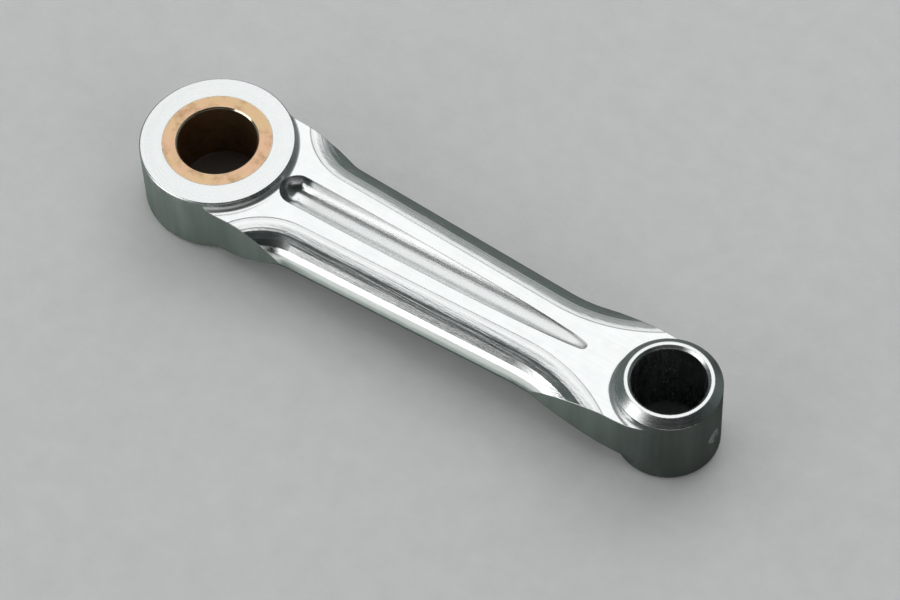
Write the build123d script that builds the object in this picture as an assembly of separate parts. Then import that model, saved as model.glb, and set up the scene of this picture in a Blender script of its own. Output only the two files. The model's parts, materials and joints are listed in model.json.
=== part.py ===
from build123d import *
import os
from math import atan, cos, hypot, sin

# Connecting rod of a small two-stroke engine, in millimetres.
# Origin: centre of the crankpin bore, on the mid-plane of the rod.
# +X runs along the beam to the wrist-pin bore, +Z runs along the crankpin axis.

centre_distance = 36.0          # crankpin axis to wrist-pin axis

# big end
crankpin_bore_r = 2.75
bush_outer_r = 3.75
bush_edge_break = 0.1
big_boss_r = 5.3
big_boss_width = 5.0
big_rim_break = 0.08
big_foot_r = 0.4                # fillet between the boss and the beam face

# small end
wrist_pin_bore_r = 2.5
small_boss_r = 3.5
small_boss_width = 6.5
bore_chamfer = 0.19
ring_face_r = 2.92              # outer edge of the flat ring round the bore, +Z side
rim_chamfer_depth = 0.5
lower_rim_break = 0.22          # the -Z rim has only a small chamfer
small_foot_r = 0.46
oil_hole_r = 0.58
oil_hole_z = -0.45              # the hole sits a little below the mid-plane

# beam: straight tapering sides, then an arc blends each side into the small end
beam_thickness = 3.6
beam_half_width = 4.88          # at the crankpin axis
beam_taper = 0.0325             # half-width lost per millimetre of length
beam_taper_end_x = 34.0

# central flute in both beam faces, cut by a ball-nose tool that climbs out towards the small end
flute_tool_r = 1.2
flute_start_x = 6.6
flute_start_depth = 1.06
flute_end_x = 29.34             # ball centre where the tool lifts off
flute_end_depth = 0.06

# side cuts, four alike: a thick rail stays down the middle and slopes down to a fin at each side
rail_half_width = 2.58          # edge of the cut, at the crankpin axis
rail_taper = 0.037
cut_start_x = 8.6
cut_end_x = 26.1
cut_start_arc_r = 5.4           # the cut leaves the beam along these two arcs
cut_end_arc_r = 12.0
cut_start_sweep = 80            # degrees
cut_end_sweep = 45              # degrees
score_width = 0.07              # fine score line along the very edge of the cut
score_depth = 0.035
score_lip_drop = 0.0035         # the line's outer lip lies this far below the rail
tool_step = 0.02                # shallow step left between two passes of the cutter
# points of the cut's section: (distance out from the edge, height above the mid-plane)
shoulder_crown = (0.34, 1.752)
shoulder_end = (0.60, 1.672)
ledge_end = (0.77, 1.620)
slope_top = (0.94, 1.540)
slope_upper = (1.07, 1.472)     # the slope is made of facets that differ by a degree or two
slope_lower = (1.19, 1.401)
slope_break = (1.42, 1.270)
fin_knee = (1.78, 1.000)
fin_shoulder = (2.04, 0.675)
fin_nose = (2.208, 0.35)
fin_edge_u = 2.31
cutter_overrun = 0.7            # how far the cutter's section reaches past the metal

half_beam = beam_thickness / 2


def quarter_arc(start, end, centre):
    """Quarter circle from start to end about centre, all as 2-D points."""
    middle = arc_middle(start, end, centre)
    return ThreePointArc(start, middle, end)


def arc_middle(start, end, centre):
    """Point halfway along the arc from start to end about centre."""
    radius = hypot(start[0] - centre[0], start[1] - centre[1])
    bisector = (start[0] + end[0] - 2 * centre[0], start[1] + end[1] - 2 * centre[1])
    reach = radius / hypot(*bisector)
    return (centre[0] + reach * bisector[0], centre[1] + reach * bisector[1])


def half_boss(radius, width, rim_width, rim_depth, foot_r):
    """Upper half of a boss about Z: flat top, chamfered rim and a fillet at its foot."""
    top = width / 2
    foot_top = (radius, half_beam + foot_r)
    foot_toe = (radius + foot_r, half_beam)
    with BuildSketch(Plane.XZ) as section:
        with BuildLine():
            Polyline((0, 0), (0, top), (radius - rim_width, top), (radius, top - rim_depth),
                     foot_top)
            quarter_arc(foot_top, foot_toe, (foot_toe[0], foot_top[1]))
            Polyline(foot_toe, (radius, half_beam), (radius, 0), (0, 0))
        make_face()
    return revolve(section.sketch, Axis.Z)


def big_boss():
    upper = half_boss(big_boss_r, big_boss_width, big_rim_break, big_rim_break, big_foot_r)
    return upper + mirror(upper, about=Plane.XY)


def small_boss():
    upper = half_boss(small_boss_r, small_boss_width, small_boss_r - ring_face_r,
                      rim_chamfer_depth, small_foot_r)
    lower = half_boss(small_boss_r, small_boss_width, lower_rim_break, lower_rim_break,
                      small_foot_r)
    return Pos(centre_distance, 0, 0) * (upper + mirror(lower, about=Plane.XY))


def beam_plan():
    """Plan of the rod; the blend arc touches the straight side and the small boss circle."""
    tilt = atan(beam_taper)
    side_end = (beam_taper_end_x, beam_half_width - beam_taper * beam_taper_end_x)
    to_boss = (side_end[0] - centre_distance, side_end[1])
    clearance = to_boss[0] * sin(tilt) + to_boss[1] * cos(tilt) - small_boss_r
    blend_r = (hypot(*to_boss) ** 2 - small_boss_r**2) / (2 * clearance)
    centre = (side_end[0] - blend_r * sin(tilt), side_end[1] - blend_r * cos(tilt))
    to_centre = (centre_distance - centre[0], -centre[1])
    reach = blend_r / hypot(*to_centre)
    touch = (centre[0] + reach * to_centre[0], centre[1] + reach * to_centre[1])
    with BuildSketch() as upper_half:
        with BuildLine():
            Polyline((centre_distance, 0), (0, 0), (0, beam_half_width), side_end)
            ThreePointArc(side_end, arc_middle(side_end, touch, centre), touch)
            Line(touch, (centre_distance, 0))
        make_face()
    half = upper_half.sketch
    ends = Circle(big_boss_r) + Pos(centre_distance, 0) * Circle(small_boss_r)
    return half + mirror(half, about=Plane.XZ) + ends


def side_cut_section():
    """Section of one side cut: u outward from the rail edge, z up from the mid-plane."""
    clear_u = fin_edge_u + cutter_overrun
    clear_z = half_beam + cutter_overrun
    score_end = (score_width, half_beam - score_lip_drop)
    with BuildSketch() as section:
        with BuildLine():
            Polyline((0, half_beam), (score_width / 2, half_beam - score_depth), score_end)
            ThreePointArc(score_end, shoulder_crown, shoulder_end)
            Polyline(shoulder_end, ledge_end, (ledge_end[0], ledge_end[1] - tool_step),
                     slope_top, slope_upper, slope_lower, slope_break, fin_knee,
                     fin_shoulder)
            ThreePointArc(fin_shoulder, fin_nose, (fin_edge_u, 0))
            Polyline((fin_edge_u, 0), (clear_u, 0), (clear_u, clear_z), (0, clear_z),
                     (0, half_beam))
        make_face()
    return section.sketch


def side_cut():
    """Metal removed at the +Y side of the +Z face: an arc in, a straight run and an arc out."""
    tilt = atan(rail_taper)
    along = Vector(cos(tilt), -sin(tilt), 0)
    outward = Vector(sin(tilt), cos(tilt), 0)

    def rail_edge(x):
        return Vector(x, rail_half_width - rail_taper * x, 0)

    start = rail_edge(cut_start_x)
    end = rail_edge(cut_end_x)
    section = side_cut_section()
    start_face = Plane(origin=start, x_dir=outward, z_dir=along) * section
    end_face = Plane(origin=end, x_dir=outward, z_dir=along) * section
    start_axis = Axis(start + outward * cut_start_arc_r, (0, 0, -1))
    end_axis = Axis(end + outward * cut_end_arc_r, (0, 0, 1))
    run = extrude(start_face, (end - start).length, dir=along)
    entry = revolve(start_face, start_axis, cut_start_sweep)
    leaving = revolve(end_face, end_axis, cut_end_sweep)
    return run + entry + leaving


def flute():
    """Groove in the +Z face: a ball-nose path that rises steadily until the tool lifts off."""
    start = Vector(flute_start_x, 0, half_beam - flute_start_depth + flute_tool_r)
    end = Vector(flute_end_x, 0, half_beam - flute_end_depth + flute_tool_r)
    path = Plane(origin=start, z_dir=end - start)
    run = extrude(path * Circle(flute_tool_r), (end - start).length)
    return Pos(start) * Sphere(flute_tool_r) + run + Pos(end) * Sphere(flute_tool_r)


def chamfered_bore(radius, width, chamfer):
    """Through bore about Z with the same chamfer at both mouths."""
    half = width / 2
    with BuildSketch(Plane.XZ) as section:
        Polygon((0, -half), (radius + chamfer, -half), (radius, chamfer - half),
                (radius, half - chamfer), (radius + chamfer, half), (0, half), align=None)
    return revolve(section.sketch, Axis.Z)


def rod_body():
    plan = beam_plan()
    bosses = (big_boss() + small_boss()) & extrude(plan, small_boss_width / 2, both=True)
    body = extrude(plan, half_beam, both=True) + bosses
    body -= Cylinder(bush_outer_r, big_boss_width)
    body -= Pos(centre_distance, 0, 0) * chamfered_bore(wrist_pin_bore_r, small_boss_width,
                                                        bore_chamfer)
    upper_cut = side_cut()
    for cut in (upper_cut, mirror(upper_cut, about=Plane.XZ)):
        body -= cut
        body -= mirror(cut, about=Plane.XY)
    body -= flute()
    body -= mirror(flute(), about=Plane.XY)
    hole_length = 2 * (small_boss_r - wrist_pin_bore_r)
    hole_x = centre_distance + (small_boss_r + wrist_pin_bore_r) / 2
    body -= Pos(hole_x, 0, oil_hole_z) * Rot(0, 90, 0) * Cylinder(oil_hole_r, hole_length)
    return body


def big_end_bush():
    sleeve = Cylinder(bush_outer_r, big_boss_width)
    return sleeve - chamfered_bore(crankpin_bore_r, big_boss_width, bush_edge_break)


os.makedirs("parts", exist_ok=True)
for node, shape in (("rod_body", rod_body()), ("big_end_bush", big_end_bush())):
    export_step(shape, f"parts/{node}.step")
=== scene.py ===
import json
from math import atan2, cos, hypot, pi, radians, sin, tan

import bpy
from mathutils import Matrix, Vector

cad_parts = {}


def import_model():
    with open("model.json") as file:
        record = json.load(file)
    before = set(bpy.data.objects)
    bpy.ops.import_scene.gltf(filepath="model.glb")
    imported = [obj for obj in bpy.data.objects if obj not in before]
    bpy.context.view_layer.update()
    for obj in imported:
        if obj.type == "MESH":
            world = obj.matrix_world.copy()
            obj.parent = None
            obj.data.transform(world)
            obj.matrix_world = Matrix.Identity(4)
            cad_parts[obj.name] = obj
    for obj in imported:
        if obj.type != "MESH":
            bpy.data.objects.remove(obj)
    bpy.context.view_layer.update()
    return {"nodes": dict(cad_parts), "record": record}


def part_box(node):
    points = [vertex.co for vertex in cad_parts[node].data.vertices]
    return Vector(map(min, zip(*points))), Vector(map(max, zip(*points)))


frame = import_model()

MM = 0.001

# the rod, from the frame
rod = frame["nodes"]["rod_body"]
bush = frame["nodes"]["big_end_bush"]
rod_low, rod_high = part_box("rod_body")
bush_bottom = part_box("big_end_bush")[0].z
mounts = {mount["name"]: mount for mount in frame["record"]["mounts"]}
pin_x = mounts["small_end_bore"]["pos_m"][0] / MM
big_boss_r = -rod_low.x / MM
small_boss_r = rod_high.x / MM - pin_x

# sizes on the rod that the frame doesn't give, in millimetres in its own coordinates
beam_z = 1.8                     # height of the beam's flat face above the mid-plane
flute_low_x = 5.3                # the flute lies between these two
flute_high_x = 30.6
flute_half_width = 1.3
flute_hollow_end_x = 6.8         # the flute's round start is left bright up to here
oil_hole_z = -0.45
oil_hole_r = 0.58
boss_wall = 0.98                 # thickness of the small end's wall, less a little

# lights: how far each leans from overhead to +X and to +Y, its spread that way, both in
# degrees as seen from the rod, and its radiance
softboxes = (
    ("softbox_back", (-14, 22), (44, 60), 1.02),
    ("softbox_front", (-37, -65), (44, 42), 1.5),
    ("softbox_front_rim", (-36, -42), (46, 6), 0.85),
    ("card_back", (-10, 64), (70, 20), 0.27),
)
rear_softbox = ("softbox_rear", (52, -57), (56, 20), 0.5)
floor_fills = (
    ("fill_right", (60, 0), (50, 60), 0.9),
    ("fill_left", (-60, 0), (50, 60), 0.9),
    ("fill_far", (0, 60), (60, 50), 0.9),
)
light_distance = 0.5             # metres


class Shader:
    """Adds nodes to one material; every argument may be a number, a tuple or a socket."""

    def __init__(self, name):
        self.material = bpy.data.materials.new(name)
        self.material.use_nodes = True
        self.tree = self.material.node_tree
        self.surface = self.tree.nodes["Principled BSDF"]
        coordinates = self.tree.nodes.new("ShaderNodeTexCoord").outputs["Object"]
        self.geometry = self.tree.nodes.new("ShaderNodeNewGeometry")
        self.mm = self.vector("SCALE", coordinates, scale=1 / MM)
        self.x, self.y, self.z = self.split(self.mm)

    def feed(self, socket, value):
        if isinstance(value, bpy.types.NodeSocket):
            self.tree.links.new(value, socket)
        else:
            socket.default_value = value

    def vector(self, operation, a, b=(0, 0, 0), scale=1.0):
        node = self.tree.nodes.new("ShaderNodeVectorMath")
        node.operation = operation
        self.feed(node.inputs[0], a)
        if operation == "SCALE":
            self.feed(node.inputs["Scale"], scale)
        else:
            self.feed(node.inputs[1], b)
        scalar = operation in ("LENGTH", "DOT_PRODUCT", "DISTANCE")
        return node.outputs["Value" if scalar else "Vector"]

    def math(self, operation, a, b=0.0, c=0.0):
        node = self.tree.nodes.new("ShaderNodeMath")
        node.operation = operation
        for socket, value in zip(node.inputs, (a, b, c)):
            self.feed(socket, value)
        return node.outputs[0]

    def every(self, *zones):
        """Product of several 0..1 zones."""
        product = zones[0]
        for zone in zones[1:]:
            product = self.math("MULTIPLY", product, zone)
        return product

    def total(self, *terms):
        """Sum of several numbers."""
        result = terms[0]
        for term in terms[1:]:
            result = self.math("ADD", result, term)
        return result

    def split(self, vector):
        node = self.tree.nodes.new("ShaderNodeSeparateXYZ")
        self.feed(node.inputs[0], vector)
        return node.outputs

    def join(self, x, y, z):
        node = self.tree.nodes.new("ShaderNodeCombineXYZ")
        for socket, value in zip(node.inputs, (x, y, z)):
            self.feed(socket, value)
        return node.outputs[0]

    def remap(self, value, low, high, to_low=0.0, to_high=1.0):
        """Straight-line map from low..high to to_low..to_high, clamped."""
        node = self.tree.nodes.new("ShaderNodeMapRange")
        for socket, number in zip(node.inputs, (value, low, high, to_low, to_high)):
            self.feed(socket, number)
        return node.outputs[0]

    def noise(self, stretch, scale=1.0, detail=2.0, roughness=0.5):
        """Noise over the piece, finer along an axis where stretch is larger."""
        place = self.mm if stretch is None else self.vector("MULTIPLY", self.mm, stretch)
        return self.noise_at(place, scale, detail, roughness)

    def noise_at(self, place, scale=1.0, detail=2.0, roughness=0.5):
        node = self.tree.nodes.new("ShaderNodeTexNoise")
        self.feed(node.inputs["Vector"], place)
        self.feed(node.inputs["Scale"], scale)
        self.feed(node.inputs["Detail"], detail)
        self.feed(node.inputs["Roughness"], roughness)
        return node.outputs["Fac"]

    def facing_up(self):
        """1 on a face that looks straight up or down and 0 on an upright wall."""
        return self.math("ABSOLUTE", self.split(self.geometry.outputs["True Normal"])[2])

    def mix(self, factor, a, b):
        """Number mix: a where factor is 0, b where it is 1."""
        node = self.tree.nodes.new("ShaderNodeMix")
        for name, value in (("Factor", factor), ("A", a), ("B", b)):
            self.feed(node.inputs[name], value)
        return node.outputs["Result"]

    def mix_colour(self, factor, a, b):
        node = self.tree.nodes.new("ShaderNodeMix")
        node.data_type = "RGBA"
        self.feed(node.inputs[0], factor)
        self.feed(node.inputs[6], a)
        self.feed(node.inputs[7], b)
        return node.outputs[2]

    def edge_highlight_and_rounding(self, radius_mm):
        """1 on a sharp edge and 0 away from it, used to paint highlights along edges, with the
        normal rounded over that edge.
        """
        bevel = self.tree.nodes.new("ShaderNodeBevel")
        bevel.samples = 6
        bevel.inputs["Radius"].default_value = radius_mm * MM
        normal = bevel.outputs[0]
        facing = self.vector("DOT_PRODUCT", normal, self.geometry.outputs["True Normal"])
        return self.remap(facing, 0.995, 0.90), normal

    def bump(self, height, depth_mm, normal):
        node = self.tree.nodes.new("ShaderNodeBump")
        self.feed(node.inputs["Height"], height)
        self.feed(node.inputs["Distance"], self.math("MULTIPLY", depth_mm, MM))
        self.feed(node.inputs["Normal"], normal)
        return node.outputs[0]

    def finish(self, **inputs):
        for name, value in inputs.items():
            self.feed(self.surface.inputs[name.replace("_", " ")], value)
        return self.material


def turned_marks(s, centre_x, pitch):
    """Radius from the vertical axis at centre_x, and concentric cutter marks about it."""
    place = s.vector("SUBTRACT", s.mm, (centre_x, 0, 0))
    flat = s.vector("MULTIPLY", place, (1, 1, 0))
    radius = s.vector("LENGTH", flat)
    around = s.vector("SCALE", s.vector("NORMALIZE", flat), scale=0.5)
    rings = s.join(s.math("MULTIPLY", radius, pitch), *s.split(around)[:2])
    return radius, s.noise_at(rings)


def flute_zones(s, height, milled):
    """The flute in the beam's face, its satin length and the line at its lip where shade is
    painted in.
    """
    from_middle = s.math("ABSOLUTE", s.y)
    flute = s.every(milled, s.remap(from_middle, flute_half_width, flute_half_width - 0.1),
                    s.remap(s.x, flute_low_x, flute_low_x + 0.05),
                    s.remap(s.x, flute_high_x, flute_high_x - 0.1))
    satin = s.every(flute, s.remap(s.x, flute_hollow_end_x, flute_hollow_end_x + 1.0))
    # the lip, where a dark line of shade is painted
    lip_shade = s.every(flute, s.remap(height, beam_z - 0.08, beam_z - 0.04))
    return flute, satin, lip_shade


def beam_face_zones(s, height, wall):
    """The fillet at the foot of each boss, and a thin band just below the beam's face where
    shade is painted in.
    """
    not_wall = s.math("SUBTRACT", 1.0, wall)
    foot = s.every(not_wall, s.remap(height, beam_z + 0.01, beam_z + 0.05),
                   s.remap(height, beam_z + 0.50, beam_z + 0.38))
    # a thin band below the beam's face, painted darker as shade
    face_edge_shade = s.every(not_wall, s.remap(height, beam_z - 0.042, beam_z - 0.022),
                    s.remap(height, beam_z - 0.002, beam_z - 0.006))
    return foot, face_edge_shade


def oil_hole_zone(s, pin_radius):
    """The wall of the radial oil hole in the tip of the small end."""
    from_hole = s.vector("DISTANCE", s.mm, s.join(s.x, 0.0, oil_hole_z))
    inner = small_boss_r - boss_wall
    return s.every(s.remap(from_hole, oil_hole_r + 0.03, oil_hole_r + 0.01),
                   s.remap(pin_radius, small_boss_r - 0.10, small_boss_r - 0.15),
                   s.remap(pin_radius, inner, inner + 0.05),
                   s.remap(s.x, pin_x, pin_x + 1.0))


def aluminium():
    """Machined aluminium: streaks along the beam, rings on the turned ends, faint wall lines,
    a satin flute with painted shade at its lip, painted highlights along sharp edges, painted
    shade just below the beam's face, and a rougher foot and oil hole."""
    base_tone = 0.86
    milled_roughness = 0.17
    turned_roughness = 0.25
    drilled_roughness = 0.6
    s = Shader("machined_aluminium")
    crank_radius, crank_rings = turned_marks(s, 0.0, 9.0)
    pin_radius, pin_rings = turned_marks(s, pin_x, 9.0)
    height = s.math("ABSOLUTE", s.z)
    wall = s.remap(s.facing_up(), 0.35, 0.15)
    above_beam = s.remap(height, beam_z + 0.15, beam_z + 0.35)
    near_crank = s.remap(crank_radius, big_boss_r + 0.3, big_boss_r + 0.1)
    near_pin = s.remap(pin_radius, small_boss_r + 0.1, small_boss_r - 0.1)
    on_big_end = s.every(near_crank, above_beam)
    turned = s.math("MAXIMUM", on_big_end, near_pin)
    milled = s.remap(height, beam_z - 0.01, beam_z - 0.05)
    flute, satin, lip_shade = flute_zones(s, height, milled)
    foot, face_edge_shade = beam_face_zones(s, height, wall)
    drilled = oil_hole_zone(s, pin_radius)

    marks = s.noise((0.18, 6.0, 6.0), detail=4.0, roughness=0.65)
    marks = s.mix(on_big_end, marks, crank_rings)
    marks = s.mix(near_pin, marks, pin_rings)
    marks = s.mix(wall, marks, s.noise((3.0, 3.0, 0.25)))
    speck = s.noise((2.0, 6.0, 6.0))
    relief = s.math("ADD", marks, s.math("MULTIPLY", speck, 0.3))
    # how deep the cutter marks are, in millimetres
    depth = s.mix(turned, 0.0022, 0.0006)
    depth = s.mix(milled, depth, 0.009)
    depth = s.mix(flute, depth, 0.012)
    depth = s.mix(wall, depth, 0.0010)
    # edge mask for the painted highlight along sharp edges, and the rounded normal
    edge, rounded = s.edge_highlight_and_rounding(0.06)

    blotch = s.noise(None, 0.9, 3.0, 0.55)
    banding = s.noise((0.7, 0.7, 0.08), roughness=0.6)
    tone = s.total(s.remap(marks, 0.3, 0.7, -0.03, 0.03),
                   s.remap(blotch, 0.35, 0.65, -0.03, 0.02),
                   # painted highlight: sharp edges a little brighter
                   s.math("MULTIPLY", edge, 0.06),
                   s.math("MULTIPLY", wall, s.remap(banding, 0.35, 0.65, -0.10, 0.08)),
                   base_tone,
                   # painted shade: dark line along the flute's lip
                   s.math("MULTIPLY", lip_shade, -0.55),
                   # painted shade: a band just below the beam's face, a little darker
                   s.math("MULTIPLY", face_edge_shade, -0.10))
    roughness = s.total(s.mix(turned, milled_roughness, turned_roughness),
                        s.mix(satin, 0.0, 0.08),
                        s.mix(foot, 0.0, 0.22),
                        s.remap(marks, 0.3, 0.7, -0.03, 0.05),
                        s.remap(blotch, 0.3, 0.7, -0.02, 0.03))
    return s.finish(Base_Color=s.join(s.math("MULTIPLY", tone, 0.99), tone, tone),
                    Metallic=s.math("SUBTRACT", s.mix(satin, 1.0, 0.74),
                                    s.math("MULTIPLY", drilled, 0.12)),
                    Roughness=s.mix(drilled, roughness, drilled_roughness),
                    Normal=s.bump(relief, depth, rounded))


def bronze():
    """Turned bronze in two hues: fine rings on the faces, dull patches of tarnish, painted
    highlights along the edges, and a smooth chamfer at each mouth painted cream as a highlight."""
    gold = (0.82, 0.57, 0.33, 1)
    copper = (0.86, 0.545, 0.36, 1)
    dull = (0.56, 0.34, 0.18, 1)
    # colour of the painted highlight along the edges
    edge_highlight_colour = (0.95, 0.78, 0.62, 1)
    # colour of the painted highlight on the mouth chamfers
    chamfer_highlight_colour = (0.97, 0.88, 0.66, 1)
    s = Shader("turned_bronze")
    _, rings = turned_marks(s, 0.0, 11.0)
    # mask for the painted highlight along the edges
    edge, _ = s.edge_highlight_and_rounding(0.10)
    _, rounded = s.edge_highlight_and_rounding(0.03)
    relief = s.math("ADD", rings, s.math("MULTIPLY", s.noise(None, 8.0), 0.5))
    tarnish = s.remap(s.noise(None, 1.1, 4.0, 0.6), 0.50, 0.72)
    facing = s.facing_up()
    mouth = s.every(s.remap(facing, 0.3, 0.5), s.remap(facing, 0.95, 0.85))
    colour = s.mix_colour(s.remap(s.noise(None, 0.45), 0.4, 0.6), copper, gold)
    colour = s.mix_colour(s.math("MULTIPLY", tarnish, 0.8), colour, dull)
    # painted highlight: paler colour along the edges
    colour = s.mix_colour(s.math("MULTIPLY", edge, 0.6), colour, edge_highlight_colour)
    # painted highlight: cream on the mouth chamfers
    colour = s.mix_colour(mouth, colour, chamfer_highlight_colour)
    roughness = s.total(s.remap(rings, 0.3, 0.7, 0.30, 0.40), s.math("MULTIPLY", tarnish, 0.08))
    return s.finish(Base_Color=colour,
                    # painted highlight: less metallic along the edges so they catch diffuse
                    # light
                    Metallic=s.math("SUBTRACT", 1.0, s.math("MULTIPLY", edge, 0.3)),
                    Roughness=s.mix(mouth, roughness, 0.12),
                    Normal=s.bump(relief, 0.002, rounded))


def floor_seen_in_metal(s):
    """How bright the floor looks in the metal, painted in: painted shade dark near the rod,
    darker still towards the small end and +Y, and a painted reflection white far off at -Y. Also
    gives 1 on that far part."""
    # brightness of the painted shade in the metal's view of the floor, and the share of it kept
    # behind the rod
    by_the_beam = 0.275
    by_the_small_end = 0.075
    behind = 0.55
    mid_beam_x = 16.0
    near = s.every(s.remap(s.x, 29.0, 38.0, by_the_beam, by_the_small_end),
                   s.remap(s.y, 3.0, 6.0, 1.0, behind))
    from_mid_beam = s.math("ABSOLUTE", s.math("SUBTRACT", s.x, mid_beam_x))
    beside_fin = s.remap(from_mid_beam, 11.0, 8.0)
    clear_of_rod = s.math("SUBTRACT", s.math("MULTIPLY", beside_fin, 7.0), s.y)
    far = s.remap(clear_of_rod, 14.0, 22.0)
    return s.mix(far, near, 1.0), far


def floor_material():
    """Pale matte paper. The metal sees it as floor_seen_in_metal says, with a painted green
    reflection tint near the rod, and a painted shadow darkens it under both bores however it is
    seen."""
    s = Shader("pale_floor")
    fibre = s.noise(None, 0.6, 5.0, 0.6)
    pale = s.remap(fibre, 0.3, 0.7, 0.66, 0.70)
    seen, far = floor_seen_in_metal(s)
    from_crank = s.vector("LENGTH", s.join(s.x, s.y, 0))
    from_pin = s.vector("LENGTH", s.join(s.math("SUBTRACT", s.x, pin_x), s.y, 0))
    nearest_bore = s.math("MINIMUM", from_crank, from_pin)
    # painted shadow on the floor inside both bores, for every ray
    bore_shadow = s.remap(nearest_bore, small_boss_r, small_boss_r - 0.8)
    light = s.math("SUBTRACT", 1.0, s.math("MULTIPLY", bore_shadow, 0.85))
    pale = s.math("MULTIPLY", pale, light)
    seen = s.math("MULTIPLY", seen, light)
    # painted reflection: the floor as the metal sees it is tinted green near the rod
    tinted = s.join(s.math("MULTIPLY", seen, s.mix(far, 0.84, 0.97)), seen,
                    s.math("MULTIPLY", seen, s.mix(far, 0.90, 0.97)))
    # glossy rays see the painted shade and reflection, other rays the pale paper
    in_metal = s.tree.nodes.new("ShaderNodeLightPath").outputs["Is Glossy Ray"]
    return s.finish(Base_Color=s.mix_colour(in_metal, s.join(pale, pale, pale), tinted),
                    Roughness=0.9,
                    Normal=s.bump(fibre, 0.05, s.geometry.outputs["Normal"]))


def floor():
    """Floor plane that the rod lies on, touching the big end's bottom edge at -X and the bottom
    of the small end, which is the wider of the two."""
    reach = 1.0                  # metres each way from the middle
    touch_big = Vector((-big_boss_r * MM, 0, bush_bottom))
    touch_small = Vector(((pin_x - 0.85 * small_boss_r) * MM, 0, rod_low.z))
    along = (touch_small - touch_big).normalized()
    across = Vector((0, 1, 0))
    middle = (touch_big + touch_small) / 2
    corners = [middle + a * reach * along + b * reach * across
               for a, b in ((-1, -1), (1, -1), (1, 1), (-1, 1))]
    mesh = bpy.data.meshes.new("floor")
    mesh.from_pydata([tuple(c) for c in corners], [], [(0, 1, 2, 3)])
    piece = bpy.data.objects.new("floor", mesh)
    bpy.context.scene.collection.objects.link(piece)
    mesh.materials.append(floor_material())


def softbox(name, towards, spread, radiance, fill_only=False, level=False):
    """Area light aimed at the rod. A fill_only one isn't seen in the metal, and a level one has
    its first side horizontal."""
    zenith = radians(hypot(*towards))
    azimuth = atan2(towards[1], towards[0])
    away = Vector((sin(zenith) * cos(azimuth), sin(zenith) * sin(azimuth), cos(zenith)))
    across = Vector((0, 0, 1) if level else (0, 1, 0)).cross(away).normalized()
    light = bpy.data.lights.new(name, "AREA")
    light.shape = "RECTANGLE"
    light.size = 2 * light_distance * tan(radians(spread[0]) / 2)
    light.size_y = 2 * light_distance * tan(radians(spread[1]) / 2)
    light.energy = radiance * pi * light.size * light.size_y
    piece = bpy.data.objects.new(name, light)
    piece.location = Vector(((rod_low.x + rod_high.x) / 2, 0, 0)) + away * light_distance
    turn = Matrix((across, away.cross(across), away)).transposed()
    piece.rotation_mode = "QUATERNION"
    piece.rotation_quaternion = turn.to_quaternion()
    piece.visible_glossy = not fill_only
    bpy.context.scene.collection.objects.link(piece)


def camera():
    """Long lens, looking down on the rod from its near side."""
    azimuth, elevation, roll = radians(36.72), radians(55.72), radians(-2.95)
    distance = 0.2373
    lens = 143.66
    aim = Vector((0.01947, -0.00081, 0))
    back = Vector((sin(azimuth) * cos(elevation), -cos(azimuth) * cos(elevation),
                   sin(elevation)))
    right = Vector((0, 0, 1)).cross(back).normalized()
    up = back.cross(right)
    rolled_right = cos(roll) * right + sin(roll) * up
    rolled_up = cos(roll) * up - sin(roll) * right
    turn = Matrix((rolled_right, rolled_up, back)).transposed().to_4x4()
    data = bpy.data.cameras.new("camera")
    data.lens = lens
    data.clip_start = 0.01
    piece = bpy.data.objects.new("camera", data)
    piece.matrix_world = Matrix.Translation(aim + back * distance) @ turn
    bpy.context.scene.collection.objects.link(piece)
    bpy.context.scene.camera = piece


def world():
    """Dim greenish room, brighter towards -X +Y and almost black towards +X -Y."""
    darkest = 0.02
    brightest = 0.12
    sky = bpy.data.worlds.new("world")
    sky.use_nodes = True
    tree = sky.node_tree
    background = tree.nodes["Background"]
    direction = tree.nodes.new("ShaderNodeTexCoord").outputs["Generated"]
    side = tree.nodes.new("ShaderNodeVectorMath")
    side.operation = "DOT_PRODUCT"
    side.inputs[1].default_value = (-0.6, 0.8, 0)
    strength = tree.nodes.new("ShaderNodeMapRange")
    for socket, value in zip(strength.inputs[1:5], (-0.6, 0.3, darkest, brightest)):
        socket.default_value = value
    tree.links.new(direction, side.inputs[0])
    tree.links.new(side.outputs["Value"], strength.inputs[0])
    tree.links.new(strength.outputs[0], background.inputs["Strength"])
    background.inputs["Color"].default_value = (0.80, 1.0, 0.96, 1)
    bpy.context.scene.world = sky


def paint(node, material):
    node.data.materials.clear()
    node.data.materials.append(material)


paint(rod, aluminium())
paint(bush, bronze())
floor()
for light_settings in softboxes:
    softbox(*light_settings)
softbox(*rear_softbox, level=True)
for light_settings in floor_fills:
    softbox(*light_settings, fill_only=True)
camera()
world()
bpy.context.scene.view_settings.view_transform = "Standard"
